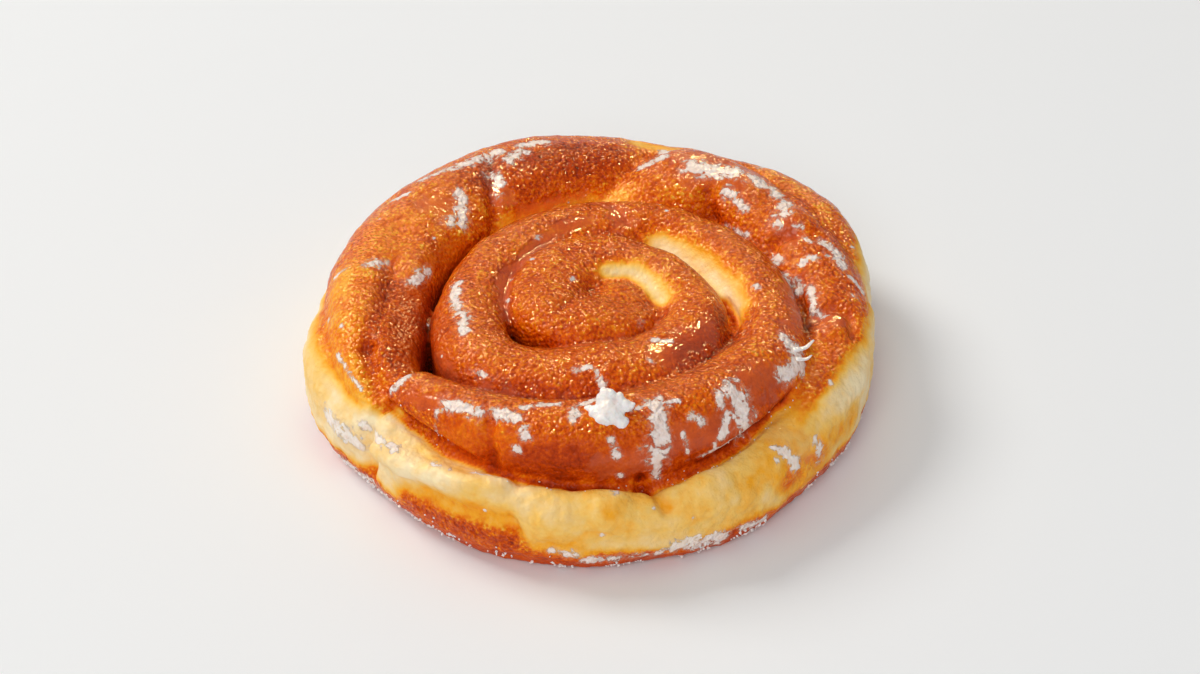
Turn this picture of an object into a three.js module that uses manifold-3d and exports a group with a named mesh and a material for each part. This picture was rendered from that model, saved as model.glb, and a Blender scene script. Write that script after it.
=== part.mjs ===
// A glazed spiral doughnut: a rope of yeast dough wound clockwise into a flat coil and fried,
// with a lump of set icing stuck on its front crest. Millimetres, +Z up, front towards -Y.
// The origin is the middle of the doughnut's footprint, on the surface that it rests on.
import * as THREE from "three";
import { mergeVertices } from "three/addons/utils/BufferGeometryUtils.js";
import Module from "manifold-3d";

const wasm = await Module();
wasm.setup();

// The rope's cross-section is a rounded crown, upright sides and a rounded foot with a flat
// underside. Every share is of the rope's half width at that station.
const FOOT_FLAT = 0.34; // half width of the flat underside
const FOOT_ROUND = 1.1; // height of the rounded lower edge
const UPRIGHT = 0.8; // most of the height below the crown that the lower edge may take
const CROWN_FACETS = 4; // from the middle of the crown to the side
const FOOT_FACETS = 3; // from the side to the flat underside
const STATION_STEP = 6.2; // distance between cross-sections along the rope
const PIECE_STEPS = 7; // cross-sections in one piece of rope, so short that it never meets itself
const LENGTH_DIVISIONS = 40; // samples that each stretch between two stations is measured with

// Low down, the inner coils have baked together, so no groove goes right through.
const WEB_RADIUS = 36;
const WEB_BOTTOM = 3.5;
const WEB_TOP = 16;
const WEB_SIDES = 40;

// The icing lump
const LUMP_AT = [2.5, -48]; // on the crest of the front coil
const LUMP_SIZE = [5.2, 4.6, 4.4]; // half width, half depth and half height
const LUMP_MIDDLE = 35; // height of the lump's middle, at the crest
const LUMP_LOBES = [3, 5]; // bumps round the lump, from two waves
const LUMP_WAVES = [0.16, 0.1]; // how far each wave pushes the surface in and out
const LUMP_DETAIL = 3; // rounds that the ball it is shaped from is divided in
const ICING_GAP = 0.35; // clearance between the icing's mesh and the dough's

// Each rope runs through stations of [x, y, height of the crown, half width]. Its crown's height
// goes from the first share to the second along its length.
const INNER_COIL = {
  crown: [0.5, 1.1],
  path: [
    [12, 2, 28.5, 6],
    [9.5, -2, 31.5, 7.5],
    [4, -6, 33.5, 9.5],
    [-4, -8.5, 34.5, 10],
    [-10.5, -5.5, 35, 10.5],
    [-12.5, 2, 35, 10],
    [-9, 11, 35, 10.5],
    [0.5, 15.5, 34.5, 10],
    [11, 13.5, 34, 8.5],
    [19.5, 6, 33.5, 8],
    [23.5, -4, 33.5, 8],
    [21, -15.5, 34, 9],
    [12, -24.5, 34.5, 10],
    [0, -28, 34.5, 10.5],
    [-11, -28.8, 34, 10.5],
    [-21, -26.5, 34, 10],
    [-28.5, -19, 34, 9.5],
    [-31, -7, 34.5, 9],
    [-28.5, 6, 34.5, 9],
    [-21, 19, 34.5, 9.5],
    [-9, 29, 34.5, 10],
    [6, 32.5, 34, 10],
    [19, 29.5, 33.5, 9.5],
    [30, 21, 33.5, 9],
    [37.5, 9, 33.5, 9],
    [40.5, -5, 33.5, 9.5],
    [39.5, -18.5, 33.5, 10.5],
    [31.4, -30.4, 34, 10.4],
    [18.3, -39.8, 34.5, 11],
    [5, -46, 35, 10],
    [-10, -47.8, 35, 8.8],
    [-24.5, -44, 34.5, 8],
    [-36.3, -36.9, 33, 6.5],
    [-46.5, -29.5, 31, 6.5],
  ],
};
const OUTER_LEFT = {
  crown: [0.7, 0.85],
  path: [
    [-46, -33, 28, 7],
    [-51, -22, 31, 9.5],
    [-53, -8, 33, 12],
    [-53, 7, 34.5, 13.5],
    [-50, 21, 35.5, 14.5],
    [-42, 35, 36.5, 15],
    [-31, 46, 37.5, 15],
    [-16, 54, 38, 14.5],
    [0, 58, 37, 13.5],
    [13, 60, 34, 11],
    [27, 59, 31.5, 9],
    [40, 56, 30.5, 8],
    [50, 49, 30.3, 8],
    [57.5, 38, 29.3, 8],
    [60.5, 25, 27.5, 7.5],
    [60.5, 11, 24, 6.5],
    [60, -1, 21, 5],
  ],
};
const OUTER_RIGHT = {
  crown: [0.8, 0.9],
  path: [
    [0, 42, 28, 7],
    [11, 47, 34.5, 10.5],
    [23, 49, 38, 12],
    [34.5, 44.5, 36.5, 11.3],
    [45.3, 34.3, 34, 11.3],
    [53, 20, 32, 11.5],
    [56, 7, 30, 10.8],
    [56.3, -6, 28, 10],
    [52.5, -18.8, 26, 9.7],
    [45.8, -29.8, 24, 9.6],
    [37.6, -40.2, 22, 8.8],
    [27.4, -49.5, 21, 8.2],
    [14.8, -55.3, 20.5, 8],
    [0, -58, 21, 7.8],
    [-15, -56.2, 22, 8],
    [-28, -51, 22.5, 8],
    [-39.2, -42.3, 23, 8],
    [-48.2, -32.4, 24.5, 8.5],
    [-55.5, -20.8, 26, 10.5],
    [-60.5, -9.5, 27.5, 10.5],
    [-59.5, 4, 28, 10],
    [-55.5, 18, 28, 9.5],
    [-49.5, 31, 27, 8.5],
  ],
};

// Half of a cross-section, from the middle of the crown round to the edge of the flat underside.
function halfSection(top, half, crown) {
  const points = [];
  for (let i = 0; i <= CROWN_FACETS; i++) {
    const a = (Math.PI / 2) * (1 - i / CROWN_FACETS);
    points.push([half * Math.cos(a), top - crown + crown * Math.sin(a)]);
  }
  const flat = half * FOOT_FLAT;
  const rise = Math.min(half * FOOT_ROUND, (top - crown) * UPRIGHT);
  for (let i = 0; i <= FOOT_FACETS; i++) {
    const a = (Math.PI / 2) * (i / FOOT_FACETS);
    points.push([flat + (half - flat) * Math.cos(a), rise * (1 - Math.sin(a))]);
  }
  return points;
}

// Stations at an even spacing along a smooth curve through a rope's own.
function evenStations({ crown, path }) {
  const plan = new THREE.CatmullRomCurve3(
    path.map(([x, y]) => new THREE.Vector3(x, y, 0)),
    false,
    "centripetal",
  );
  const size = new THREE.CatmullRomCurve3(
    path.map(([, , top, half]) => new THREE.Vector3(top, half, 0)),
    false,
    "catmullrom",
  );
  plan.arcLengthDivisions = path.length * LENGTH_DIVISIONS;
  const steps = Math.ceil(plan.getLength() / STATION_STEP);
  return Array.from({ length: steps + 1 }, (_, i) => {
    const t = plan.getUtoTmapping(i / steps);
    const { x: top, y: half } = size.getPoint(t);
    const share = THREE.MathUtils.lerp(crown[0], crown[1], i / steps);
    return { at: plan.getPoint(t), along: plan.getTangent(t), top, half, crown: share * half };
  });
}

// The closed cross-section stood across the rope, counter-clockwise as seen looking back along it.
function ring({ at, along, top, half, crown }, grow) {
  const across = new THREE.Vector3(-along.y, along.x, 0).normalize();
  const right = halfSection(top + grow, half + grow, crown + grow);
  const left = right.slice(1).map(([side, z]) => [-side, z]);
  return [...right.reverse(), ...left].map(([side, z]) =>
    at.clone().addScaledVector(across, side).setZ(z),
  );
}

// A closed solid over consecutive stations, with flat ends.
function loft(stations, grow) {
  const rings = stations.map((station) => ring(station, grow));
  const n = rings[0].length;
  const last = (rings.length - 1) * n;
  const index = [];
  for (let start = 0; start < last; start += n)
    for (let i = 0; i < n; i++) {
      const a = start + i;
      const b = start + ((i + 1) % n);
      index.push(a, b, a + n, b, b + n, a + n);
    }
  for (let i = 1; i + 1 < n; i++) {
    index.push(0, i + 1, i);
    index.push(last, last + i, last + i + 1);
  }
  const positions = rings.flat().flatMap((p) => [p.x, p.y, p.z]);
  const geometry = new THREE.BufferGeometry();
  geometry.setAttribute("position", new THREE.Float32BufferAttribute(positions, 3));
  geometry.setIndex(index);
  return geometry;
}

// A geometry that has only positions, as a manifold solid, and back.
function toSolid(geometry) {
  const merged = mergeVertices(geometry);
  return new wasm.Manifold(
    new wasm.Mesh({
      numProp: 3,
      vertProperties: merged.attributes.position.array,
      triVerts: new Uint32Array(merged.index.array),
    }),
  );
}

function toGeometry(solid) {
  const mesh = solid.getMesh();
  const geometry = new THREE.BufferGeometry();
  geometry.setAttribute("position", new THREE.BufferAttribute(mesh.vertProperties, 3));
  geometry.setIndex(new THREE.BufferAttribute(mesh.triVerts, 1));
  geometry.computeVertexNormals();
  return geometry;
}

// The dough between the coils, below the grooves.
function webSolid() {
  const disc = new THREE.CylinderGeometry(WEB_RADIUS, WEB_RADIUS, WEB_TOP - WEB_BOTTOM, WEB_SIDES);
  disc.deleteAttribute("normal");
  disc.deleteAttribute("uv");
  disc.rotateX(Math.PI / 2);
  disc.translate(0, 0, (WEB_TOP + WEB_BOTTOM) / 2);
  return toSolid(disc);
}

// All the ropes as one solid, grown outwards by a clearance. Pockets sealed between coils are
// baked shut, so only the outer skin is kept.
function doughSolid(grow) {
  const pieces = [INNER_COIL, OUTER_LEFT, OUTER_RIGHT].flatMap((rope) => {
    const stations = evenStations(rope);
    const starts = stations.map((_, i) => i).filter((i) => i % PIECE_STEPS === 0);
    return starts
      .map((i) => stations.slice(i, i + PIECE_STEPS + 1))
      .filter((some) => some.length > 1)
      .map((some) => toSolid(loft(some, grow)));
  });
  const joined = pieces.reduce((whole, piece) => whole.add(piece), webSolid());
  return joined.decompose().reduce((a, b) => (b.volume() > a.volume() ? b : a));
}

// A knobbly lump of icing that sits on the crest, trimmed to the dough with a clearance.
function lumpSolid() {
  const facets = new THREE.IcosahedronGeometry(1, LUMP_DETAIL);
  facets.deleteAttribute("normal");
  facets.deleteAttribute("uv");
  const ball = mergeVertices(facets);
  const point = new THREE.Vector3();
  const position = ball.attributes.position;
  for (let i = 0; i < position.count; i++) {
    point.fromBufferAttribute(position, i);
    const turn = Math.atan2(point.y, point.x);
    const level = Math.sqrt(1 - Math.min(1, point.z * point.z));
    const waves = LUMP_LOBES.map((lobes, k) => LUMP_WAVES[k] * Math.cos(lobes * turn + k) * level);
    point.multiplyScalar(1 + waves[0] + waves[1]);
    position.setXYZ(i, ...point.toArray().map((value, axis) => value * LUMP_SIZE[axis]));
  }
  ball.translate(...LUMP_AT, LUMP_MIDDLE);
  const trimmed = toSolid(ball).subtract(doughSolid(ICING_GAP));
  return trimmed.decompose().reduce((a, b) => (b.volume() > a.volume() ? b : a));
}

function named(name, geometry, colour, roughness) {
  const material = new THREE.MeshStandardMaterial({ color: colour, roughness, metalness: 0 });
  const mesh = new THREE.Mesh(geometry, material);
  mesh.name = name;
  return mesh;
}

const dough = toGeometry(doughSolid(0));
const lump = toGeometry(lumpSolid());

// The ropes are laid out from the middle of the coil, and the part from the middle of its footprint.
dough.computeBoundingBox();
const middle = dough.boundingBox.getCenter(new THREE.Vector3());

const doughnut = new THREE.Group();
doughnut.position.set(-middle.x, -middle.y, 0);
doughnut.add(named("dough_spiral", dough, 0xb4602a, 0.45));
doughnut.add(named("icing_lump", lump, 0xf2ece6, 0.55));

const part = new THREE.Group();
part.add(doughnut);

export default part;
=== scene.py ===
import math

import bpy
import numpy as np
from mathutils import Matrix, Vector, noise


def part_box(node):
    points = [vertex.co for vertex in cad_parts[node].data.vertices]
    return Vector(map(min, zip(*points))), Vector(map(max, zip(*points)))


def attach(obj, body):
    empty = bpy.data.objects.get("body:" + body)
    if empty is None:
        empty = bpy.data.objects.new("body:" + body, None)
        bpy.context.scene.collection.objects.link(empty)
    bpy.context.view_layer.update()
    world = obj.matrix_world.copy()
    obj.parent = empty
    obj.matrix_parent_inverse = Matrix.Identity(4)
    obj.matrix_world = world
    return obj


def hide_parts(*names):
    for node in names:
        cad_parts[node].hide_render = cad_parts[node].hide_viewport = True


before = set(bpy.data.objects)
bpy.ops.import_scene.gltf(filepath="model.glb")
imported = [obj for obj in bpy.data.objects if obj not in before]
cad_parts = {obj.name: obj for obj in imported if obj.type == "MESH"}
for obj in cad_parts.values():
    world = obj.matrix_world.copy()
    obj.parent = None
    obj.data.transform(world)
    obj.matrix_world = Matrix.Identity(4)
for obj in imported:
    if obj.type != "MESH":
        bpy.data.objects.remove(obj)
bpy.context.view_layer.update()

# A glazed spiral doughnut: a rope of yeast dough wound into a flat coil, fried and glazed, with a
# lump of set icing on its front crest. The shape is worked out in millimetres, in the rope's own
# layout, and ends in metres in the part's frame.
MM = 0.001

# ---------------------------------------------------------------- the ropes
# Stations of [x, y, height of the crown, half width], as in the CAD part.
INNER_COIL = {
    "crown": (0.5, 1.1),
    "path": [
        [12, 2, 28.5, 6], [9.5, -2, 31.5, 7.5], [4, -6, 33.5, 9.5], [-4, -8.5, 34.5, 10],
        [-10.5, -5.5, 35, 10.5], [-12.5, 2, 35, 10], [-9, 11, 35, 10.5], [0.5, 15.5, 34.5, 10],
        [11, 13.5, 34, 8.5], [19.5, 6, 33.5, 8], [23.5, -4, 33.5, 8], [21, -15.5, 34, 9],
        [12, -24.5, 34.5, 10], [0, -28, 34.5, 10.5], [-11, -28.8, 34, 10.5], [-21, -26.5, 34, 10],
        [-28.5, -19, 34, 9.5], [-31, -7, 34.5, 9], [-28.5, 6, 34.5, 9], [-21, 19, 34.5, 9.5],
        [-9, 29, 34.5, 10], [6, 32.5, 34, 10], [19, 29.5, 33.5, 9.5], [30, 21, 33.5, 9],
        [37.5, 9, 33.5, 9], [40.5, -5, 33.5, 9.5], [39.5, -18.5, 33.5, 10.5],
        [31.4, -30.4, 34, 10.4], [18.3, -39.8, 34.5, 11], [5, -46, 35, 10], [-10, -47.8, 35, 8.8],
        [-24.5, -44, 34.5, 8], [-36.3, -36.9, 33, 6.5], [-46.5, -29.5, 31, 6.5],
    ],
}
OUTER_LEFT = {
    "crown": (0.7, 0.85),
    "path": [
        [-46, -33, 28, 7], [-51, -22, 31, 9.5], [-53, -8, 33, 12], [-53, 7, 34.5, 13.5],
        [-50, 21, 35.5, 14.5], [-42, 35, 36.5, 15], [-31, 46, 37.5, 15], [-16, 54, 38, 14.5],
        [0, 58, 37, 13.5], [13, 60, 34, 11], [27, 59, 31.5, 9], [40, 56, 30.5, 8], [50, 49, 30.3, 8],
        [57.5, 38, 29.3, 8], [60.5, 25, 27.5, 7.5], [60.5, 11, 24, 6.5], [60, -1, 21, 5],
    ],
}
OUTER_RIGHT = {
    "crown": (0.8, 0.9),
    "path": [
        [0, 42, 28, 7], [11, 47, 34.5, 10.5], [23, 49, 38, 12], [34.5, 44.5, 36.5, 11.3],
        [45.3, 34.3, 34, 11.3], [53, 20, 32, 11.5], [56, 7, 30, 10.8], [56.3, -6, 28, 10],
        [52.5, -18.8, 26, 9.7], [45.8, -29.8, 24, 9.6], [37.6, -40.2, 22, 8.8],
        [27.4, -49.5, 21, 8.2], [14.8, -55.3, 20.5, 8], [0, -58, 21, 7.8], [-15, -56.2, 22, 8],
        [-28, -51, 22.5, 8], [-39.2, -42.3, 23, 8], [-48.2, -32.4, 24.5, 8.5],
        [-55.5, -20.8, 26, 10.5], [-60.5, -9.5, 27.5, 10.5], [-59.5, 4, 28, 10],
        [-55.5, 18, 28, 9.5], [-49.5, 31, 27, 8.5],
    ],
}
ROPES = [INNER_COIL, OUTER_LEFT, OUTER_RIGHT]
OUTER_TURN, LOW_STRAND = 1, 2  # the two outer ropes' numbers; the strand goes under the coil's front
FOOT_FLAT = 0.34  # half width of the flat underside, as a share of the rope's
FOOT_ROUND = 1.1  # height of the rounded lower edge, as a share of the half width
UPRIGHT = 0.8  # most of the height below the crown that the lower edge may take
WEB_RADIUS, WEB_BOTTOM, WEB_TOP = 36, 3.5, 16  # dough baked together low between the coils
CORE_MIDDLE, CORE_SIZE = (6, 1, 16), (13, 11, 17.2)  # the floor of the hollow in the innermost turn

VOXEL = 0.55  # millimetres between the finished mesh's points
LUMP_VOXEL = 0.25
RING_POINTS = 64
WEB_POINTS = 96
STATION_STEP = 1.0


def catmull_rom(points, closeness, samples):
    """Points of a smooth open curve through points; closeness 0 is uniform and 0.5 centripetal."""
    p = np.array(points, float)
    p = np.vstack([2 * p[0] - p[1], p, 2 * p[-1] - p[-2]])
    w = np.linspace(0, 1, samples, endpoint=False)[:, None]
    out = []
    for a, b, c, d in zip(p, p[1:], p[2:], p[3:]):
        gaps = [max(1e-4, np.linalg.norm(v - u)) for u, v in ((a, b), (b, c), (c, d))]
        ta, tb, tc = (gap ** (2 * closeness) for gap in gaps)
        m0 = ((b - a) / ta - (c - a) / (ta + tb) + (c - b) / tb) * tb
        m1 = ((c - b) / tb - (d - b) / (tb + tc) + (d - c) / tc) * tb
        h = w * w * (3 - 2 * w)
        out.append(b * (1 - h) + c * h + m0 * (w * (1 - w) ** 2) + m1 * (w * w * (w - 1)))
    return np.vstack([*out, p[-2][None]])


def stations(rope):
    """Rows of x, y, along x, along y, crown height, half width, crown depth, every STATION_STEP."""
    path = np.array(rope["path"], float)
    plan = catmull_rom(path[:, :2], 0.5, 24)
    size = catmull_rom(path[:, 2:], 0, 24)
    run = np.concatenate([[0], np.cumsum(np.linalg.norm(np.diff(plan, axis=0), axis=1))])
    at = np.linspace(0, run[-1], int(run[-1] / STATION_STEP) + 1)
    x, y, top, half = (np.interp(at, run, c) for c in (*plan.T, *size.T))
    along = np.stack([np.gradient(x), np.gradient(y)])
    along /= np.linalg.norm(along, axis=0)
    share = np.interp(at, [0, run[-1]], rope["crown"])
    return np.stack([x, y, *along, top, half, share * half], axis=1)


def section(top, half, crown):
    """The closed cross-section, as [across, height], counter-clockwise from the left foot."""
    a = np.linspace(0, np.pi, RING_POINTS // 2)
    over = np.stack([half * np.cos(a), top - crown + crown * np.sin(a)], 1)
    rise = min(half * FOOT_ROUND, (top - crown) * UPRIGHT)
    flat = half * FOOT_FLAT
    b = np.linspace(0, np.pi / 2, RING_POINTS // 4)
    foot = np.stack([flat + (half - flat) * np.cos(b), rise * (1 - np.sin(b))], 1)
    left = foot * [-1, 1]
    return np.vstack([over, left[1:], foot[::-1][:-1]])


def tube(rings):
    """A closed tube's vertices and faces. Its rings turn clockwise, seen along the tube."""
    n = len(rings[0])
    last = (len(rings) - 1) * n
    faces = [list(range(n))[::-1], list(range(last, last + n))]
    for start in range(0, last, n):
        for i in range(n):
            j = (i + 1) % n
            faces.append([start + i, start + j, start + j + n, start + i + n])
    return np.vstack(rings), faces


def rope_tube(rope):
    """Vertices and faces of one rope's closed tube."""
    rings = []
    for x, y, ax, ay, top, half, crown in stations(rope):
        ring = section(top, half, crown)
        rings.append(np.stack([x - ay * ring[:, 0], y + ax * ring[:, 0], ring[:, 1]], 1))
    return tube(rings)


def joined(shapes):
    """Several shapes' vertices and faces as one shape's."""
    vertices, faces, base = [], [], 0
    for v, f in shapes:
        vertices.append(v)
        faces += [[i + base for i in face] for face in f]
        base += len(v)
    return np.vstack(vertices), faces


def mesh_object(name, vertices, faces):
    mesh = bpy.data.meshes.new(name)
    mesh.from_pydata([tuple(v) for v in vertices], [], faces)
    mesh.validate()
    made = bpy.data.objects.new(name, mesh)
    bpy.context.scene.collection.objects.link(made)
    return made


def apply_modifier(piece, kind, **settings):
    made = piece.modifiers.new(kind, kind)
    for key, value in settings.items():
        setattr(made, key, value)
    bpy.context.view_layer.objects.active = piece
    with bpy.context.temp_override(object=piece, active_object=piece):
        bpy.ops.object.modifier_apply(modifier=made.name)


def points_of(piece):
    co = np.zeros(len(piece.data.vertices) * 3, np.float32)
    piece.data.vertices.foreach_get("co", co)
    return co.reshape(-1, 3).astype(float)


def normals_of(piece):
    piece.data.update()
    out = np.zeros(len(piece.data.vertices) * 3, np.float32)
    piece.data.vertex_normals.foreach_get("vector", out)
    return out.reshape(-1, 3).astype(float)


def set_points(piece, co):
    piece.data.vertices.foreach_set("co", co.astype(np.float32).ravel())
    piece.data.update()


def set_value(piece, name, values):
    made = piece.data.attributes.new(name, "FLOAT", "POINT")
    made.data.foreach_set("value", values.astype(np.float32))


def dome(middle, size):
    """A closed mound: an ellipsoid's vertices and faces."""
    turns, levels = 48, 24
    turn = np.linspace(0, 2 * np.pi, turns, endpoint=False)
    tilt = np.linspace(0, np.pi, levels + 1)[1:-1, None]
    rings = np.stack([np.sin(tilt) * np.cos(turn), np.sin(tilt) * np.sin(turn), np.cos(tilt) + 0 * turn], -1)
    vertices = np.vstack([[[0, 0, 1]], rings.reshape(-1, 3), [[0, 0, -1]]]) * size + middle
    last = len(vertices) - 1
    faces = []
    for i in range(turns):
        j = (i + 1) % turns
        faces.append([0, 1 + i, 1 + j])
        faces.append([last, last - turns + j, last - turns + i])
        for start in range(1, last - turns, turns):
            faces.append([start + i, start + turns + i, start + turns + j, start + j])
    return vertices, faces


def web():
    """The closed disc of dough baked together between the coils."""
    turn = np.linspace(0, 2 * np.pi, WEB_POINTS, endpoint=False)
    across = [WEB_RADIUS * np.cos(turn), WEB_RADIUS * np.sin(turn)]
    return tube([np.stack([*across, np.full(WEB_POINTS, z)], 1) for z in (WEB_BOTTOM, WEB_TOP)])


def rope_union():
    """All the ropes and the dough between them as one even mesh, in millimetres."""
    shapes = [rope_tube(rope) for rope in ROPES]
    piece = mesh_object("fried_spiral", *joined([*shapes, dome(CORE_MIDDLE, CORE_SIZE), web()]))
    apply_modifier(piece, "REMESH", mode="VOXEL", voxel_size=VOXEL, adaptivity=0)
    apply_modifier(piece, "SMOOTH", factor=0.5, iterations=6)
    return piece


# ---------------------------------------------------------------- fields over the surface
def fractal(points, size, octaves=3, seed=0.0):
    """Smooth noise between about -1 and 1, with lumps of the given size."""
    moved = points / size + seed
    return np.array([noise.fractal(Vector(p), 1.0, 2.0, octaves) for p in moved])


def near(points, places, width, flat=1.0):
    """1 on the line through the places, falling evenly to 0 at width. Heights count flat times."""
    scale = np.array([1, 1, flat])
    line = np.atleast_2d(np.array(places, float)) * scale
    p = points * scale
    found = np.full(len(p), 1e9)
    low, high = line.min(0) - width, line.max(0) + width
    some = np.where(((p > low) & (p < high)).all(1))[0]
    q = p[some]
    best = np.full(len(q), 1e9)
    if len(line) == 1:
        best = np.linalg.norm(q - line[0], axis=1)
    for a, b in zip(line, line[1:]):
        d = b - a
        t = np.clip((q - a) @ d / (d @ d), 0, 1)
        best = np.minimum(best, np.linalg.norm(q - a - t[:, None] * d, axis=1))
    found[some] = best
    return np.clip(1 - found / width, 0, 1)


def soften(piece, values, rounds):
    """Values over the mesh, or rows of them, each moved to the mean of its neighbours, some rounds."""
    edges = np.zeros(len(piece.data.edges) * 2, np.int32)
    piece.data.edges.foreach_get("vertices", edges)
    a, b = edges[::2], edges[1::2]
    n = len(values)
    count = np.bincount(a, minlength=n) + np.bincount(b, minlength=n)
    columns = values.reshape(n, -1).T.copy()
    for _ in range(rounds):
        for k, column in enumerate(columns):
            total = np.bincount(a, column[b], n) + np.bincount(b, column[a], n)
            columns[k] = total / count
    return columns.T.reshape(values.shape)


def hollowness(piece, rounds):
    """How far each point lies inside the surface smoothed over, in millimetres."""
    points = points_of(piece)
    return ((soften(piece, points, rounds) - points) * normals_of(piece)).sum(1)


def smooth(t):
    t = np.clip(t, 0, 1)
    return t * t * (3 - 2 * t)


def owners(points):
    """For each point, the number of the rope it is on."""
    rope_rows = [stations(rope)[::2] for rope in ROPES]
    rows = np.vstack(rope_rows).astype(np.float32)
    which = np.concatenate([np.full(len(r), k) for k, r in enumerate(rope_rows)])
    top, half, crown = rows[:, 4], rows[:, 5], rows[:, 6]
    rise = np.minimum(half * FOOT_ROUND, (top - crown) * UPRIGHT)
    flat = half * FOOT_FLAT
    owner = np.zeros(len(points), int)
    for start in range(0, len(points), 4000):
        p = points[start : start + 4000].astype(np.float32)
        d = np.hypot(p[:, :1] - rows[:, 0], p[:, 1:2] - rows[:, 1])
        z = p[:, 2:]
        above = (np.hypot(d / half, (z - top + crown) / crown) - 1) * np.minimum(half, crown)
        low = np.hypot(np.maximum(d - flat, 0) / (half - flat), (rise - z) / rise) - 1
        below = low * np.minimum(half - flat, rise)
        far = np.where(z > top - crown, above, np.where(z > rise, d - half, below))
        owner[start : start + 4000] = far.argmin(1)
    return which[owner]


# ---------------------------------------------------------------- camera, light and floor
CAMERA_AT = (0.46, -406.17, 329.74)  # in the ropes' layout, millimetres
CAMERA_TILT = math.radians(90 - 37.5)
CAMERA_LENS = 62.77
LIGHT_AIM = (0, 0, 0.02)  # in the part's frame, metres, as the lights are
FLOOR_REACH = 3


def make_camera(shift):
    data = bpy.data.cameras.new("camera")
    data.sensor_width = 36
    data.lens = CAMERA_LENS
    data.clip_start = 0.01
    made = bpy.data.objects.new("camera", data)
    bpy.context.scene.collection.objects.link(made)
    made.location = (Vector(CAMERA_AT) + shift) * MM
    made.rotation_euler = (CAMERA_TILT, 0, 0)
    bpy.context.scene.camera = made


def area_light(name, at, aim, size, power, colour):
    data = bpy.data.lights.new(name, "AREA")
    data.shape = "DISK"
    data.size = size
    data.energy = power
    data.color = colour
    made = bpy.data.objects.new(name, data)
    bpy.context.scene.collection.objects.link(made)
    made.location = at
    made.rotation_euler = (Vector(aim) - Vector(at)).to_track_quat("-Z", "Y").to_euler()
    return made


def make_studio():
    world = bpy.data.worlds.new("studio")
    bpy.context.scene.world = world
    world.use_nodes = True
    world.node_tree.nodes["Background"].inputs["Color"].default_value = (1, 1, 1, 1)
    world.node_tree.nodes["Background"].inputs["Strength"].default_value = 0.38
    area_light("window", (-1.7, 1.0, 1.8), LIGHT_AIM, 1.2, 36.0, (1, 0.97, 0.9))
    area_light("fill", (-0.6, -2.6, 2.2), LIGHT_AIM, 2.2, 42.0, (1, 0.99, 0.97))
    # Two small lamps only make the glints on the crust's pebbles.
    for name, at, power in (("glint", (-0.5, 0.35, 0.6), 19.0), ("back_glint", (0.15, 0.8, 0.6), 15.0)):
        lamp = area_light(name, at, LIGHT_AIM, 0.15, power, (1, 0.72, 0.27))
        lamp.visible_diffuse = False
    corners = [(-1, -1), (1, -1), (1, 1), (-1, 1)]
    floor = mesh_object("floor", [(FLOOR_REACH * x, FLOOR_REACH * y, 0) for x, y in corners], [[0, 1, 2, 3]])
    material = bpy.data.materials.new("pale_floor")
    material.use_nodes = True
    shader = material.node_tree.nodes["Principled BSDF"]
    shader.inputs["Base Color"].default_value = (0.89, 0.905, 0.93, 1)
    shader.inputs["Roughness"].default_value = 0.8
    shader.inputs["Specular IOR Level"].default_value = 0.05
    floor.data.materials.append(material)
    bpy.context.scene.view_settings.view_transform = "Standard"


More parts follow.
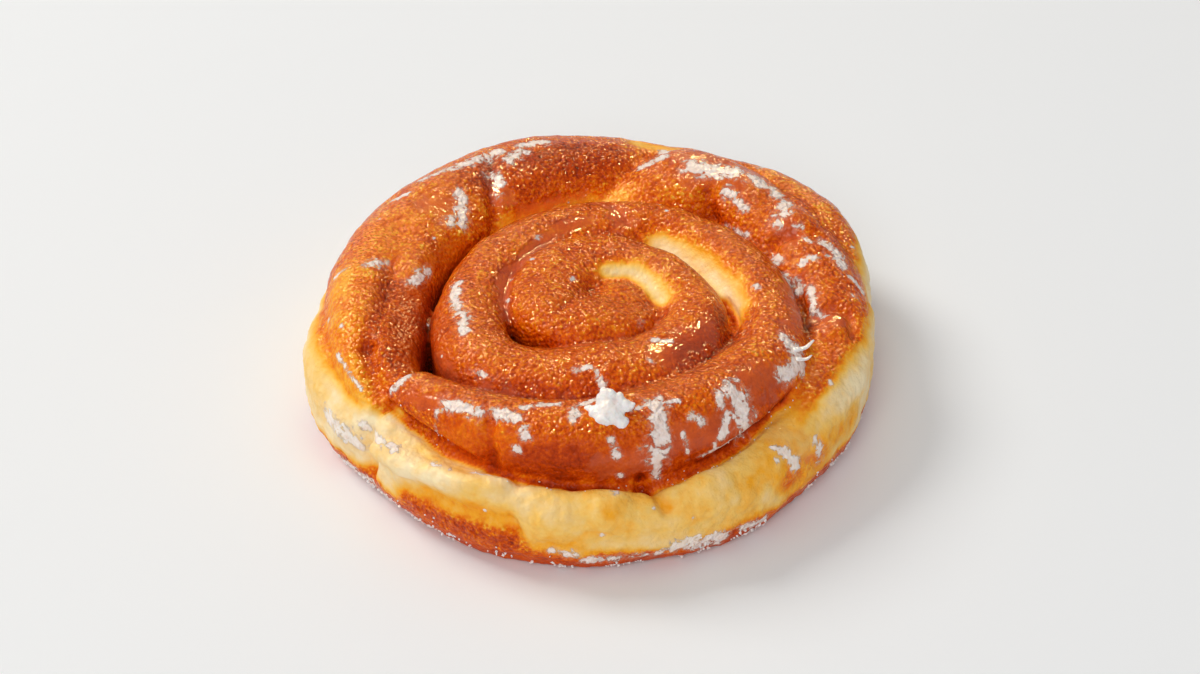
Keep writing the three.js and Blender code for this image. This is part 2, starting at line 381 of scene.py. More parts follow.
# ---------------------------------------------------------------- the shape's details
# Each is (height in millimetres, width from its middle to nothing, the places it runs through).
# Heights above 0 swell the dough and below 0 crease it.
FOLDS = [
    (-1.8, 3.2, [(-28, 51, 38), (-28, 45, 37), (-27, 37, 35), (-26, 33, 31), (-25, 29, 29)]),
    (-1.3, 7, [(-49, 22, 35), (-49, 8, 35), (-48, 0, 33), (-47, -12, 32)]),
    (-1.0, 4, [(-50, 9, 35), (-50, 2, 34), (-52, -8, 33), (-54, -20, 31)]),
    (-2.2, 4, [(-54, -21, 31), (-52, -29, 29), (-51, -36, 28)]),
    (-1.0, 2.0, [(-9, -10, 35), (-5, -5, 34.5), (-1, 0, 33)]),
    (-0.8, 1.8, [(3, 38, 32), (4, 33, 34), (7, 28, 33), (10, 25, 31)]),
    (-2.0, 3, [(42, 20, 29), (45, 23, 31), (51, 24, 34), (56, 22, 33)]),
    (-1.6, 3, [(28, 39, 34), (28, 37, 32), (29, 35, 29)]),
    (-2.2, 3.5, [(-24, -49, 32), (-24, -52, 28), (-24, -53, 24)]),
    (-3.6, 2.8, [(10, -56, 20), (13, -58.5, 19), (15, -61, 17)]),
    (-1.8, 3, [(-6, -57, 20), (-6, -60, 18)]),
    (-1.8, 3, [(-17, -57, 21), (-18.5, -60, 18), (-19, -63, 13)]),
    (1.2, 5, [(-12, -60, 18), (-13, -63, 13)]),
    (-1.3, 2.6, [(-46, -42, 22), (-38, -48, 22), (-30, -52.5, 22), (-22, -55, 21)]),
    (-2.8, 4, [(-52, -38, 19), (-53, -40, 14), (-54, -39, 8)]),
    (-1.6, 4, [(-44, -50, 13), (-36, -55, 14), (-28, -59, 15), (-20, -62, 15)]),
    (-1.6, 2.6, [(51, -6, 28), (54, -3, 29), (58, -2, 29), (61, -5, 28), (61, -10, 27)]),
    (-2.2, 3, [(-51, -38, 28), (-50, -33, 30), (-45, -30, 31), (-41, -27, 29)]),
    (2.0, 3.6, [(-51, -42, 18), (-44, -48, 18), (-38, -51.5, 19), (-30, -56, 20), (-22, -58, 20)]),
    (2.0, 8, [(2, -62, 19)]),
    (1.8, 7, [(-9, -64, 15)]),
    (1.7, 9, [(24, -57, 18)]),
    (1.1, 5, [(57, -8, 28)]),
    (1.2, 11, [(-58, 2, 33), (-57, -8, 31)]),
    (1.0, 10, [(-38, 40, 37)]),
    (0.9, 9, [(-44, 12, 34)]),
    (1.0, 8, [(-60, -31, 16)]),
    (0.9, 9, [(38, 42, 37)]),
    (0.8, 8, [(50, 30, 33)]),
    (-2.2, 2.6, [(48.5, -12, 27), (49.5, -2, 26), (48.5, 8, 27)]),
    (-3.2, 2.0, [(33, -9, 28), (32.5, -3, 27.5), (30.5, 3, 27)]),
    (-1.6, 2.6, [(41, 54, 31), (46, 48, 32), (50.6, 39, 32), (55.4, 33.5, 31), (57, 30, 30)]),
]
# The groove where the low front strand goes under the coil's wall.
GROOVE_PUSH, GROOVE_WIDTH = -2.8, 2.4
FRONT_GROOVE = [
    (-48, -36, 25.5), (-44, -39.5, 24.5), (-40, -42.5, 23.5), (-36, -46.5, 23), (-31, -49.5, 22.5),
    (-25, -53, 21.5), (-18, -56, 21), (-11, -57.6, 20.5), (-4, -58.3, 20), (4, -58, 20), (11, -56.8, 20),
    (18, -54.5, 20.5), (26, -49.8, 21), (33, -43.8, 22), (39, -37, 23), (44, -29, 24.5), (47, -21, 26),
    (48.5, -12, 27),
]
# The walls where the crust is smoother: the coil's front, and inside the outer turn on the left.
SMOOTH_WALLS = [
    [(-30, -50, 25), (-16, -55, 25), (0, -57, 25), (16, -54, 25), (30, -45, 26), (41, -33, 27)],
    [(-36, 18, 26), (-41, 8, 26), (-42, -6, 26), (-41, -20, 26)],
]
# The open groove between the innermost turns on the right, where the outer wall leans back.
LEAN_DROP = 1.8
LEANING_WALL = [(14, 25, 29), (22, 19, 28), (28, 11, 28), (32, 3, 28), (33.5, -6, 28), (33, -14, 28)]

# The hollow in the innermost turn, whose sides are smoothed.
HOLLOW_MIDDLE, HOLLOW_WIDTH = (8, 3, 30), 15

# ---------------------------------------------------------------- how it is baked and glazed, and painted shade in its creases
# Each is (how baked, width, places): 0 is pale dough, 0.4 golden, 0.7 orange and 1 dark brown. Some darker
# ones are painted shade in creases and on a wall turned from the light, as marked.
BAKE_AND_SHADE_COIL = [
    # Painted shade: darker along the trough inside the outer turn on the left, and on that turn's inner
    # wall, turned from the light.
    (0.80, 9, [(-47, 0, 30), (-46, -12, 29), (-47, -22, 28)]),
    (0.86, 5, [(-42, 6, 27), (-42, -6, 26), (-40, -18, 27)]),
    (0.76, 10, [(0, -57, 25), (16, -54, 25), (30, -45, 26), (40, -34, 27)]),
    (0.64, 9, [(-38, -41, 28), (-30, -48, 28), (-20, -52, 29)]),
    (0.78, 8, [(-28, -33, 29), (-10, -38, 30), (8, -37, 30), (22, -32, 30)]),
    # Painted shade: darker along the groove between the coil and the right strand.
    (0.84, 6, [(49, 8, 27), (50, -4, 26), (50, -18, 25)]),
    (0.80, 7, [(-18, 42, 33), (-8, 48, 34), (4, 53, 35)]),
    (0.38, 6, [(-22, 33, 28), (-12, 39, 27), (-2, 43, 28), (6, 42, 28), (16, 40, 27)]),
    (0.50, 6, [(6, 44, 32), (14, 43, 31), (24, 40, 31)]),
]
# These go over the pale belt and the darker foot too. Three are painted shade, as marked.
BAKE_AND_SHADE_DETAILS = [
    (0.28, 5, [(10, 63, 33), (17, 61, 32), (25, 59, 30)]),
    (0.50, 5, [(43, 57, 28), (51, 49, 27), (57, 40, 26)]),
    (0.47, 8, [(-61, 8, 31), (-60, -6, 30), (-58, -18, 28), (-55, -27, 27)]),
    (0.58, 9, [(-55, 14, 33), (-52, 26, 33)]),
    # Painted shade: a darker line in the fold inside the outer turn on the left.
    (0.78, 3.5, [(-50, 4, 33), (-52, -8, 32), (-54, -20, 30), (-52, -32, 28)]),
    (0.40, 6, [(17, 23, 32), (26, 16, 31), (32, 7, 31), (35, -3, 31)]),
    (0.02, 5, [(15, 23, 29), (22, 18, 28), (28, 11, 28), (32, 2, 28), (33, -8, 28)]),
    (0.42, 4.5, [(2, 9, 32), (9, 10, 32), (14, 5, 32), (17, -1, 31)]),
    (0.05, 3.4, [(2, 9, 31), (8, 9, 31), (12, 5, 31), (15, -1, 30)]),
    (0.78, 7, [(-44, -51, 9), (-33, -58, 9), (-20, -63, 9)]),
    (0.58, 8, [(42, -45, 12), (50, -36, 13), (57, -24, 14)]),
    # Painted shade: a dark line in the deep crack on the right.
    (0.95, 1.6, [(33, -9, 27), (32.5, -3, 26), (30.5, 3, 26)]),
    # Painted shade: a thin dark line along the front groove.
    (0.88, 1.5, FRONT_GROOVE[:-2]),
    (0.44, 6, [(-63, 2, 28), (-62, -12, 26), (-59, -23, 25), (-54, -31, 24)]),
    (0.88, 7, [(20, -25, 31), (28, -16, 30), (30, -8, 30)]),
    (0.86, 10, [(-30, 44, 37), (-14, 52, 38), (0, 56, 37)]),
    (0.42, 5, [(-40, -52, 14), (-28, -60, 15), (-20, -62, 16)]),
    (0.55, 6, [(51, -14, 26), (47, -27, 25)]),
    (0.52, 5, [(-49, -38, 27), (-40, -46, 25), (-31, -52, 24)]),
]
# Each is (width, places) of glaze that dried as a smooth see-through film.
FILMS = [
    (5.5, [(-42, 33, 36), (-38, 30, 35)]),
    (2.6, [
        (-2, 28, 34), (-8, 25, 34), (-12, 22, 34), (-17, 15, 33), (-20, 9, 33), (-23, 3, 33), (-23, -3, 32),
    ]),
    (2.4, [(-23, -6, 32), (-20, -14, 32), (-13, -21, 32), (-3, -22, 32), (6, -17, 32)]),
    (3.2, [(-18, 38, 30), (-12, 40, 30), (-4, 42, 31), (3, 40, 32)]),
    (4.0, [(1, 36, 33), (4, 32, 34), (7, 28, 33)]),
    (3.2, [(-38, -22, 29), (-32, -32, 29), (-24, -37, 31), (-14, -40, 32), (-4, -41, 32), (4, -40, 32)]),
    (5.5, [(14, -26, 33), (20, -22, 33), (26, -16, 33)]),
    (6.5, [(35, -35, 32), (40, -31, 31)]),
    (4.5, [(16, -51, 28), (24, -48, 28), (32, -41, 28)]),
    (4, [(46, -14, 32), (48, -8, 31), (47, 0, 31), (47, 8, 29)]),
    (8, [(25, 46, 38), (36, 44, 37)]),
    (5, [(46, 26, 34), (48, 22, 32)]),
    (5, [(54, -4, 29), (59, -6, 28)]),
    (4, [(-46, -38, 32), (-36, -43, 33)]),
    (5, [(42, -42, 22), (48, -42, 18)]),
    (3.5, [(-27, 42, 36), (-24, 38, 34)]),
    (4, [(10, -55, 25), (0, -56, 26)]),
]
# Each is (width, places) of glaze that dried white and flaked.
FLAKES = [
    (2.2, [(-35, 36, 36), (-34, 27, 33)]),
    (2.4, [(-37, 27, 34)]),
    (2.2, [(-28, 45, 37), (-25, 42, 36)]),
    (2.4, [(-23, 49, 38), (-20, 53, 38)]),
    (1.8, [(-26, 38, 35)]),
    (2.0, [(-45, 43, 36), (-40, 45, 36), (-35, 48, 37)]),
    (2.4, [(-33, 49, 37), (-26, 53, 38)]),
    (1.8, [(-20, 56, 38), (-13, 58, 38)]),
    (1.1, [(-52, 36, 34), (-48, 37, 36)]),
    (1.8, [(-56, 8, 34), (-52, 9, 34)]),
    (2.0, [(-45, 4, 32), (-42, 9, 31)]),
    (1.1, [(-65, 7, 31), (-61, 8, 32)]),
    (2.0, [(-34, 0, 34), (-34, -7, 34), (-32, -12, 34), (-31, -18, 34)]),
    (1.3, [(-15, 20, 34)]),
    (2.0, [(11, 51, 35), (17, 52, 37)]),
    (3.4, [(24, 46, 38), (29, 45, 37), (35, 45, 37)]),
    (2.6, [(39, 43, 36), (44, 41, 35), (47, 36, 35), (47, 30, 34), (45, 28, 33)]),
    (2.0, [(33, 39, 35), (37, 34, 33)]),
    (2.4, [(56, 21, 32), (59, 18, 31), (60, 13, 30)]),
    (1.3, [(33, 33, 28), (38, 28, 29)]),
    (1.8, [(43, 20, 28), (45, 17, 29)]),
    (2.0, [(46, 11, 29), (49, 7, 28)]),
    (1.2, [(50, 13, 31), (52, 15, 31), (54, 14, 31)]),
    (1.7, [(52, 5, 29), (52, -3, 28), (54, -4, 28)]),
    (1.5, [(62, 3, 28)]),
    (1.1, [(62, 10, 29), (65, 7, 27)]),
    (1.6, [(50, 26, 34), (52, 21, 33)]),
    (1.3, [(38, 0, 33)]),
    (0.9, [(-61, -20, 28), (-58, -26, 28), (-55, -31, 27)]),
    (1.9, [(-48, -35, 30), (-44, -32, 32)]),
    (1.1, [(-50, -37, 29), (-44, -42, 32), (-36, -44, 33)]),
    (2.0, [(-34, -43, 32), (-30, -45, 33), (-27, -47, 33)]),
    (2.1, [(-24, -48, 34), (-18, -50, 34)]),
    (1.1, [(-36, -43, 30), (-36, -44, 25)]),
    (1.3, [(-17, -47, 35), (-13, -46, 35), (-9, -46, 35)]),
    (2.0, [(-16, -53, 32)]),
    (1.1, [(-34, -46, 23)]),
    (1.6, [(-18, -55, 29)]),
    (1.6, [(-27, -54, 22), (-24, -55, 22)]),
    (2.0, [(-5, -49, 35)]),
    (1.4, [(-6, -51, 34)]),
    (1.3, [(-3, -46, 35), (2, -42, 34)]),
    (0.8, [(5, -50, 35), (10, -47, 35), (18, -44, 34)]),
    (3.2, [(13, -46, 35), (13, -49, 33), (14, -52, 30), (13, -54, 27), (14, -55, 24)]),
    (2.0, [(13, -55, 21)]),
    (1.5, [(21, -47, 32), (23, -47, 30)]),
    (3.6, [(30, -39, 33), (32, -41, 30), (33, -42, 27), (33, -42, 24)]),
    (1.6, [(27, -41, 33), (29, -45, 29), (28, -47, 26)]),
    (3.0, [(44, -20, 32), (46, -22, 30), (47, -23, 28), (45, -26, 29), (43, -29, 29)]),
    (1.5, [(11, -11, 31)]),
    (1.1, [(13, -22, 34), (17, -22, 34)]),
    (1.1, [(12, -29, 33)]),
    (1.1, [(-5, -32, 33), (-2, -32, 34)]),
    (1.3, [(0, -33, 33), (1, -36, 32)]),
    (1.2, [(-30, -30, 32), (-26, -32, 32)]),
    (1.3, [(40, -45, 21), (43, -45, 19)]),
    (1.9, [(43, -45, 19), (46, -45, 15)]),
    (1.7, [(50, -39, 18), (52, -39, 12)]),
    (1.3, [(4, -61, 22)]),
    (1.1, [(5, -56, 22)]),
    (1.2, [(3, -54, 31), (4, -56, 28)]),
    (0.9, [(19, -50, 29), (20, -51, 25)]),
    (0.9, [(27, -48, 21), (26, -48, 25)]),
    (0.8, [(17, -54, 22), (26, -49, 23), (34, -42, 24), (40, -35, 25)]),
    (3.0, [(-63, -27, 16), (-60, -32, 16), (-56, -37, 15)]),
    (1.5, [(-54, -36, 20), (-50, -41, 20), (-46, -45, 20)]),
    (1.1, [(-37, -51, 21), (-31, -55, 21), (-25, -58, 21)]),
    (1.2, [(-66, -18, 19), (-65, -22, 15)]),
    (1.7, [(-10, -65, 8), (-5, -65, 7)]),
    (1.6, [(-3, -65, 5), (5, -65, 5), (14, -64, 5)]),
    (2.8, [(18, -63, 7), (24, -60, 6), (28, -58, 5)]),
    (1.8, [(33, -56, 6), (38, -52, 5)]),
    (1.5, [(-60, -30, 4), (-55, -36, 4), (-50, -42, 4)]),
]
SMALL_FLECKS, LARGE_FLECKS = 70, 46  # scattered at random, the large ones on the back and underside


def beside_groove(points, normals):
    """Which points face upwards beside the front groove, and how far each is outside it."""
    x, y, z = points.T
    gx, gy, gz = np.transpose(FRONT_GROOVE)
    turn, groove_turn = np.arctan2(y, x), np.arctan2(gy, gx)
    outside = np.hypot(x, y) - np.interp(turn, groove_turn, np.hypot(gx, gy))
    above = z - np.interp(turn, groove_turn, gz)
    in_front = (turn > -2.5) & (turn < -0.25)
    return in_front & (above < 3) & (np.abs(outside) < 7.5) & (normals[:, 2] > 0.3), outside


def front_strand(points, normals, rope):
    """The ropes' numbers, where the low strand starts at the front groove."""
    beside, outside = beside_groove(points, normals)
    strand = np.where(rope == LOW_STRAND, 0, rope)
    return np.where(beside, np.where(outside > -0.5, LOW_STRAND, strand), rope)


def push_folds(points, normals):
    """The points, moved along their normals by the dough's lumps, its folds and the front groove."""
    push = 0.8 * fractal(points, 26, 2, 3.1) + 0.35 * fractal(points, 9, 2, 7.7)
    for height, width, places in [(GROOVE_PUSH, GROOVE_WIDTH, FRONT_GROOVE), *FOLDS]:
        push += height * smooth(near(points, places, width))
    return points + normals * push[:, None]


def sculpt(piece):
    """The finished mesh, from the plain ropes: folds first, and then the dough's own unevenness."""
    points = points_of(piece)
    lean = smooth(near(points, LEANING_WALL, 7.5, 0.6))
    points[:, 2] -= LEAN_DROP * lean
    hollow = near(points, [HOLLOW_MIDDLE], HOLLOW_WIDTH)
    set_points(piece, points)
    for name, weight in (("lean", lean), ("hollow", smooth(2 * hollow))):
        group = piece.vertex_groups.new(name=name)
        for i in np.where(weight > 0.02)[0]:
            group.add([int(i)], float(weight[i]), "REPLACE")
        apply_modifier(piece, "SMOOTH", factor=0.8, iterations=24, vertex_group=name)
        piece.vertex_groups.remove(piece.vertex_groups[name])
    points = push_folds(points_of(piece), normals_of(piece))
    set_points(piece, points)
    apply_modifier(piece, "REMESH", mode="VOXEL", voxel_size=VOXEL, adaptivity=0)
    apply_modifier(piece, "SMOOTH", factor=0.5, iterations=3)
    points = points_of(piece)
    fine = 0.13 * fractal(points, 2.6, 2, 5.3) + 0.10 * fractal(points, 4.5, 2, 1.9)
    x, y, z = points.T
    fine *= 1 + 1.3 * smooth((27 - z) / 6) * smooth((np.hypot(x, y) - 59) / 3)  # more on the belt
    points += normals_of(piece) * fine[:, None]
    points[:, 2] = np.maximum(points[:, 2], 0)
    set_points(piece, points)


def bake_places(points, bake_and_shade, places_list):
    """The bake and painted shade, changed at each of the places in turn."""
    for value, width, places in places_list:
        w = smooth(near(points, places, width))
        bake_and_shade = bake_and_shade * (1 - w) + value * w
    return bake_and_shade


def bake_of(points, normals, rope):
    """How baked each point is: crowns orange, walls brown, and the outer belt pale, with painted shade along
    some creases.
    """
    x, y, z = points.T
    outward = (normals[:, 0] * x + normals[:, 1] * y) / np.hypot(x, y)
    turn = np.degrees(np.arctan2(y, x))
    bake_and_shade = 0.68 + 0.15 * smooth((0.7 - normals[:, 2]) / 0.6)
    bake_and_shade = np.where(rope == OUTER_TURN, bake_and_shade - 0.06, bake_and_shade)
    bake_and_shade = bake_places(points, bake_and_shade, BAKE_AND_SHADE_COIL)
    belt = smooth((outward - 0.2) / 0.4) * smooth((28 - z) / 6) * (np.hypot(x, y) > 48) * (rope > 0)
    # The low strand across the front stood clear of the oil, from the right round to the left.
    front = (rope == LOW_STRAND) * smooth((-24 - turn) / 22) * smooth((turn + 158) / 14)
    golden = 0.17 * smooth((turn + 125) / 30) + 0.09 * smooth((turn + 80) / 40)
    pale = 0.08 + 0.18 * fractal(points, 12, 3, 8.8) + front * golden
    w = np.maximum(belt, front * (z < 30))
    bake_and_shade = bake_and_shade * (1 - w) + pale * w
    foot = smooth((9.5 - z + 2 * fractal(points, 14, 2, 4.2)) / 5)
    bake_and_shade = bake_and_shade * (1 - foot) + 0.72 * foot
    return bake_places(points, bake_and_shade, BAKE_AND_SHADE_DETAILS)


def glaze_of(points, places_list):
    """The strongest of the patches at each point, from 1 in a patch's middle to 0."""
    found = np.zeros(len(points))
    for width, places in places_list:
        found = np.maximum(found, near(points, places, 2 * width))
    return found


def scattered(points, normals):
    """Random patches of (width, places): small flecks all over, large ones out of sight."""
    random = np.random.default_rng(7)
    out = []
    for i in random.choice(len(points), SMALL_FLECKS, replace=False):
        out.append((random.uniform(0.5, 1.0), [points[i]]))
    behind = np.where((normals[:, 1] > 0.45) & (points[:, 1] > 45) | (normals[:, 2] < -0.5))[0]
    for i in random.choice(behind, LARGE_FLECKS, replace=False):
        along = random.normal(size=3)
        along -= normals[i] * (along @ normals[i])
        along *= random.uniform(1, 5) / np.linalg.norm(along)
        out.append((random.uniform(1.2, 2.6), [points[i] - along, points[i] + along]))
    return out


# ---------------------------------------------------------------- materials
class Graph:
    """A material whose nodes are added by chained calls. Sizes are in millimetres."""

    def __init__(self, name):
        self.material = bpy.data.materials.new(name)
        self.material.use_nodes = True
        self.tree = self.material.node_tree
        self.shader = self.tree.nodes["Principled BSDF"]
        place = self.node("ShaderNodeTexCoord").outputs["Object"]
        scaled = self.node("ShaderNodeVectorMath", operation="SCALE")
        self.put(scaled.inputs["Vector"], place)
        scaled.inputs["Scale"].default_value = 1 / MM
        self.place = scaled.outputs["Vector"]

    def node(self, kind, **settings):
        made = self.tree.nodes.new(kind)
        for key, value in settings.items():
            setattr(made, key, value)
        return made

    def put(self, socket, value):
        if isinstance(value, bpy.types.NodeSocket):
            self.tree.links.new(value, socket)
        else:
            socket.default_value = value

    def set(self, **values):
        """Sets the shader's sockets: words joined by _ give the socket's name."""
        for key, value in values.items():
            self.put(self.shader.inputs[key.replace("_", " ")], value)

    def attribute(self, name):
        return self.node("ShaderNodeAttribute", attribute_name=name).outputs["Fac"]

    def math(self, operation, *values):
        made = self.node("ShaderNodeMath", operation=operation)
        for socket, value in zip(made.inputs, values):
            self.put(socket, value)
        return made.outputs[0]

    def add(self, first, *more):
        for value in more:
            first = self.math("ADD", first, value)
        return first

    def times(self, *values):
        first = values[0]
        for value in values[1:]:
            first = self.math("MULTIPLY", first, value)
        return first

    def noise(self, size, detail=2.0, roughness=0.5, distortion=0.0):
        made = self.node("ShaderNodeTexNoise")
        values = (("Vector", self.place), ("Scale", 1 / size), ("Detail", detail),
                  ("Roughness", roughness), ("Distortion", distortion))
        for key, value in values:
            self.put(made.inputs[key], value)
        return made.outputs["Fac"]

    def swing(self, value, amount):
        """A 0 to 1 value as one that goes amount / 2 either side of 0."""
        return self.math("MULTIPLY_ADD", value, amount, -amount / 2)

    def cells(self, size):
        """Distance from each cell's middle, in cells, and each cell's own random colour."""
        made = self.node("ShaderNodeTexVoronoi")
        self.put(made.inputs["Vector"], self.place)
        made.inputs["Scale"].default_value = 1 / size
        return made.outputs["Distance"], made.outputs["Color"]

    def step(self, value, low, high):
        made = self.node("ShaderNodeMapRange", interpolation_type="SMOOTHSTEP")
        self.put(made.inputs["Value"], value)
        made.inputs["From Min"].default_value = low
        made.inputs["From Max"].default_value = high
        return made.outputs["Result"]

    def ramp(self, value, stops):
        made = self.node("ShaderNodeValToRGB")
        elements = made.color_ramp.elements
        while len(elements) < len(stops):
            elements.new(0.5)
        for element, (position, colour) in zip(elements, stops):
            element.position = position
            element.color = srgb(colour)
        self.put(made.inputs["Fac"], value)
        return made.outputs["Color"]

    def blend(self, first, second, amount):
        made = self.node("ShaderNodeMix", data_type="RGBA")
        a, b = [s for s in made.inputs if s.type == "RGBA"]
        self.put(made.inputs[0], amount)
        self.put(a, first)
        self.put(b, second)
        return [s for s in made.outputs if s.type == "RGBA"][0]

    def bump(self, height):
        made = self.node("ShaderNodeBump")
        made.inputs["Distance"].default_value = MM
        self.put(made.inputs["Height"], height)
        return made.outputs["Normal"]


def srgb(colour):
    """A colour written as 0 to 255 display values, as the linear colour that sockets take."""
    values = np.array(colour) / 255
    linear = np.where(values < 0.04045, values / 12.92, ((values + 0.055) / 1.055) ** 2.4)
    return (*linear, 1)


CRUST_COLOURS = [
    (0.00, (252, 230, 186)), (0.12, (250, 214, 150)), (0.26, (250, 200, 104)), (0.40, (250, 172, 40)),
    (0.54, (236, 116, 4)), (0.68, (214, 82, 0)), (0.80, (184, 58, 0)), (0.92, (146, 40, 0)),
    (1.00, (98, 32, 5)),
]
FILM_COLOUR = srgb((208, 122, 86))
HAZE_COLOUR = srgb((240, 204, 180))
FLAKE_COLOURS = [(0.3, (244, 226, 214)), (0.65, (255, 249, 245))]


def dough_material():
    g = Graph("fried_dough")
    # The bake attribute holds painted shade in creases and hollows as well as how baked the crust is.
    bake_and_shade, grain, film, flake = (g.attribute(n) for n in ("bake_and_shade", "grain", "film", "flake"))
    ragged = g.add(g.swing(g.noise(2.3, 6, 0.68, 0.6), 1.8), g.swing(g.noise(0.7, 2), 0.3))
    film = g.step(g.add(film, g.swing(g.noise(3.5, 4), 1.1)), 0.5, 0.8)
    haze = g.step(g.add(flake, ragged), 0.36, 0.8)
    flake = g.step(g.add(flake, ragged), 0.62, 0.76)
    bare = g.math("SUBTRACT", 1.0, g.times(film, 0.7))
    rough = g.times(grain, bare)
    beads, fleck = g.cells(0.95)
    pebbles = g.add(g.noise(0.95, 0.5), g.times(beads, -0.5), 0.3)
    tone = g.add(
        bake_and_shade,
        g.swing(g.noise(7, 4, 0.6), 0.36),
        g.swing(g.noise(2.4, 3), 0.2),
        g.times(rough, g.swing(pebbles, -0.3)),
        g.times(rough, g.step(g.noise(0.9, 1), 0.52, 0.7), -0.14),
        g.times(rough, g.swing(g.noise(0.6, 2, 0.6), 0.3)),
        g.times(rough, g.swing(fleck, 0.12)),
    )
    colour = g.ramp(tone, CRUST_COLOURS)
    colour = g.blend(colour, FILM_COLOUR, g.times(film, 0.16))
    colour = g.blend(colour, HAZE_COLOUR, g.times(haze, 0.34))
    white = g.ramp(g.noise(1.3, 3), FLAKE_COLOURS)
    colour = g.blend(colour, white, g.times(flake, 0.85))
    height = g.add(
        g.times(rough, pebbles, 0.66),
        g.times(rough, g.noise(2.4, 1.0), 0.3),
        g.times(g.noise(4, 2, 0.5), 0.3),
        g.times(g.math("SUBTRACT", 1.0, grain), g.noise(1.9, 3, 0.55), 0.55),
        g.times(flake, g.add(0.06, g.times(g.noise(1.0, 3), 0.25))),
    )
    gloss = g.add(0.52, g.times(grain, -0.38), g.times(film, -0.04), g.times(flake, 0.3))
    normal = g.bump(height)
    g.set(Base_Color=colour, Roughness=gloss, Normal=normal)
    g.set(Specular_IOR_Level=0.12, Coat_Weight=g.add(0.02, g.times(film, 0.25)), Coat_Roughness=0.12)
    g.set(Coat_Normal=normal)
    g.set(Subsurface_Weight=0.06, Subsurface_Scale=0.002, Subsurface_Radius=(1.0, 0.5, 0.2))
    return g.material


def icing_material():
    g = Graph("set_icing")
    colour = g.ramp(g.noise(1.6, 3), [(0.3, (248, 234, 227)), (0.6, (255, 251, 249))])
    height = g.add(g.times(g.noise(1.2, 4, 0.6), 0.5), g.times(g.noise(0.35, 2), 0.08))
    g.set(Base_Color=colour, Roughness=g.add(0.3, g.swing(g.noise(2, 2), 0.2)), Normal=g.bump(height))
    g.set(Subsurface_Weight=0.35, Subsurface_Scale=0.002, Subsurface_Radius=(1.0, 0.75, 0.6))
    return g.material


# ---------------------------------------------------------------- the pieces
def finish_piece(piece, shift, material):
    """Puts a piece that was made in millimetres in the part's frame, with its finish."""
    set_points(piece, (points_of(piece) + np.array(shift)) * MM)
    piece.data.polygons.foreach_set("use_smooth", np.ones(len(piece.data.polygons), bool))
    piece.data.materials.clear()
    piece.data.materials.append(material)
    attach(piece, "root")


def make_dough(shift):
    """The doughnut, with how baked, pebbled and glazed each point is stored on its mesh, and painted shade
    darkening its creases and hollows.
    """
    piece = rope_union()
    sculpt(piece)
    points, normals = points_of(piece), normals_of(piece)
    rope = front_strand(points, normals, owners(points))
    bake_and_shade = soften(piece, bake_of(points, normals, rope), 2)
    grain = smooth((bake_and_shade - 0.35) / 0.3) * smooth((points[:, 2] - 2) / 6)
    for wall in SMOOTH_WALLS:
        grain *= 1 - 0.55 * smooth(2 * near(points, wall, 10))
    # Painted shade: the bake is made darker in creases and hollows, by how far each point lies inside the
    # smoothed surface; less on the low strand and beside the front groove, and hardly any on the leaning
    # wall.
    beside, _ = beside_groove(points, normals)
    shade = np.where((rope == LOW_STRAND) | beside, 0.12, 0.3)
    shade *= 1 - 0.8 * smooth(near(points, LEANING_WALL, 8))
    bake_and_shade += shade * np.clip(hollowness(piece, 6) / 0.5, 0, 1)
    set_value(piece, "bake_and_shade", bake_and_shade)
    set_value(piece, "grain", grain)
    set_value(piece, "film", glaze_of(points, FILMS))
    set_value(piece, "flake", glaze_of(points, FLAKES + scattered(points, normals)))
    finish_piece(piece, shift, dough_material())
    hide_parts("dough_spiral")
    return piece


LUMP_AT = (2.8, -48.2, 34.9)
# The mounds that the icing lump is made of: middle from LUMP_AT, and half sizes.
LUMP_MOUNDS = [
    ((0, 0, 0), (3.6, 3.4, 3.5)), ((-0.8, 1.0, 2.6), (2.4, 1.8, 2.1)), ((3.2, -0.4, 1.3), (2.2, 1.5, 1.4)),
    ((2.2, -2.5, -1.5), (1.7, 1.5, 1.7)), ((-3.0, -0.6, -0.4), (2.0, 1.8, 1.8)),
    ((-1.4, -2.8, -1.2), (2.2, 1.5, 1.8)), ((1.9, 0.6, 2.4), (1.3, 1.2, 1.5)),
    ((4.5, -0.2, 1.8), (1.1, 0.7, 0.7)), ((-4.3, 0.5, -0.6), (1.6, 1.2, 1.1)),
    ((-1.6, 1.4, 3.9), (1.0, 0.9, 1.0)),
]


def make_lump(shift):
    mounds = [dome(np.array(LUMP_AT) + middle, size) for middle, size in LUMP_MOUNDS]
    piece = mesh_object("icing_flake", *joined(mounds))
    apply_modifier(piece, "REMESH", mode="VOXEL", voxel_size=LUMP_VOXEL, adaptivity=0)
    points = points_of(piece)
    push = 0.55 * fractal(points, 2.2, 3, 6.1)
    set_points(piece, points + normals_of(piece) * push[:, None])
    finish_piece(piece, shift, icing_material())
    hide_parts("icing_lump")
    return piece


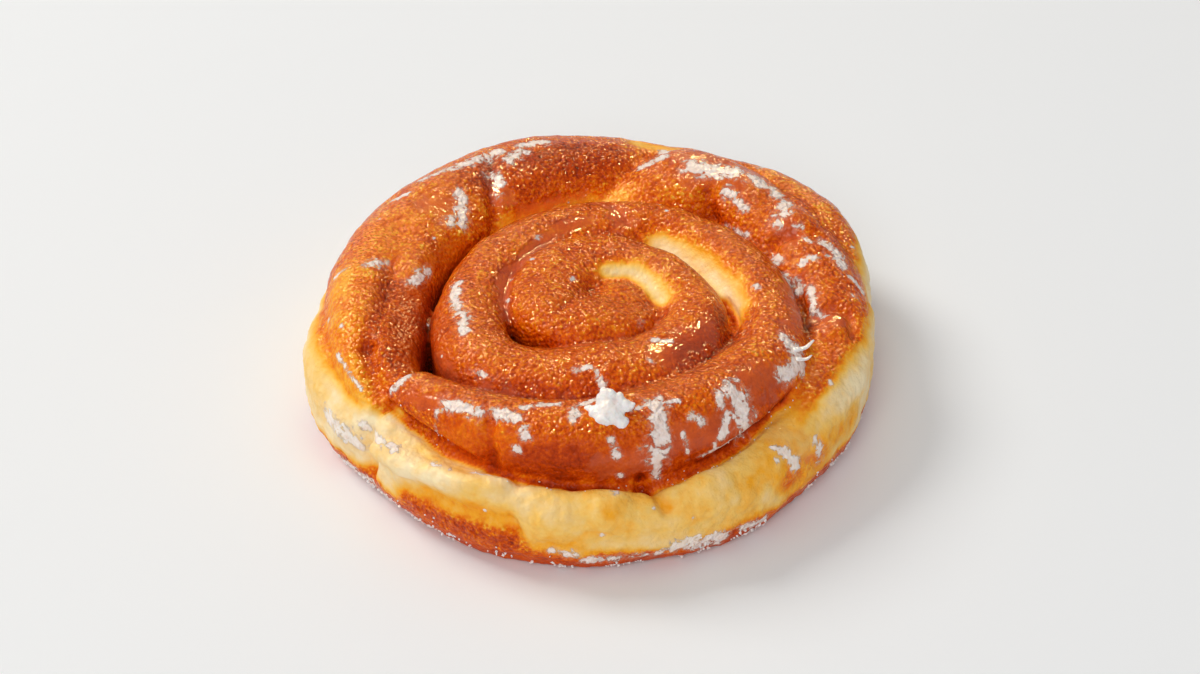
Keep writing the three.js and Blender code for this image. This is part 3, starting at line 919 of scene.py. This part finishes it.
def make_grains(shift, dough):
    """Sugar grains of the glaze: thick along the front foot, thin in the grooves and elsewhere."""
    random = np.random.default_rng(11)
    points, normals = points_of(dough) / MM - np.array(shift), normals_of(dough)
    turn = np.linspace(0, 2 * np.pi, 5, endpoint=False)
    ring = np.stack([np.cos(turn), np.sin(turn), 0 * turn], 1)
    crystal = np.vstack([[[0, 0, 0.9]], ring, [[0, 0, -0.9]]])
    sides = [[0, 1 + i, 1 + (i + 1) % 5] for i in range(5)]
    sides += [[6, 1 + (i + 1) % 5, 1 + i] for i in range(5)]
    x, y, z = points.T
    outward = (normals[:, 0] * x + normals[:, 1] * y) / np.hypot(x, y)
    foot = (z < 8) & (z > 0.8) & (outward > 0.3)
    groove = near(points, FRONT_GROOVE, 3) > 0
    clump = fractal(points, 6, 3, 2.7) > 0.05
    grains = []
    for where, count, low, high in (
        (foot & clump & (y < 0) & (z < 5), 480, 0.2, 0.6),
        (foot & clump, 220, 0.2, 0.4),
        (groove, 40, 0.15, 0.3),
    ):
        for i in random.choice(np.where(where)[0], count, replace=False):
            size = random.uniform(low, high, 3)
            spin, _ = np.linalg.qr(random.normal(size=(3, 3)))
            spin *= np.sign(np.linalg.det(spin))
            shape = (crystal * size * random.uniform(0.75, 1.25, (7, 1))) @ spin.T
            grains.append((shape + points[i] + normals[i] * 0.4 * size.min(), sides))
    piece = mesh_object("sugar_grains", *joined(grains))
    finish_piece(piece, shift, icing_material())
    piece.data.polygons.foreach_set("use_smooth", np.zeros(len(piece.data.polygons), bool))


def thread(radius, places):
    """A flat tapering thread of icing that stands off the dough, as vertices and faces."""
    path = catmull_rom(places, 0.5, 6)
    along = np.gradient(path, axis=0)
    side = np.cross(along, [0, 0, 1])
    side /= np.linalg.norm(side, axis=1)[:, None]
    up = np.cross(side, along)
    up /= 2 * np.linalg.norm(up, axis=1)[:, None]
    turn = np.linspace(0, -2 * np.pi, THREAD_POINTS, endpoint=False)[:, None]
    size = radius * np.linspace(1, 0.25, len(path))
    return tube([p + r * (np.cos(turn) * s + np.sin(turn) * u) for p, r, s, u in zip(path, size, side, up)])


THREAD_POINTS = 6
# Threads of icing: half width where each starts, and the places it runs through.
THREADS = [
    (1.0, [(45.5, -21.5, 30.8), (48.5, -20, 30.4), (50.5, -18, 31)]),
    (0.8, [(46, -24, 30), (48.6, -23, 29.4), (49.8, -22, 29.6)]),
]


def make_threads(shift):
    piece = mesh_object("icing_threads", *joined([thread(*row) for row in THREADS]))
    finish_piece(piece, shift, icing_material())


def rope_shift():
    """From the ropes' layout to the part's frame: the middle of the footprint is the origin."""
    rows = np.vstack([stations(rope) for rope in ROPES])
    side = rows[:, 5:6] * np.stack([-rows[:, 3], rows[:, 2]], 1)
    edge = np.vstack([rows[:, :2] + side, rows[:, :2] - side])
    low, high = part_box("dough_spiral")
    middle = (edge.min(0) + edge.max(0)) / 2
    return Vector(((low.x + high.x) / 2 / MM - middle[0], (low.y + high.y) / 2 / MM - middle[1], 0))


SHIFT = rope_shift()
make_camera(SHIFT)
make_studio()
make_grains(SHIFT, make_dough(SHIFT))
make_lump(SHIFT)
make_threads(SHIFT)
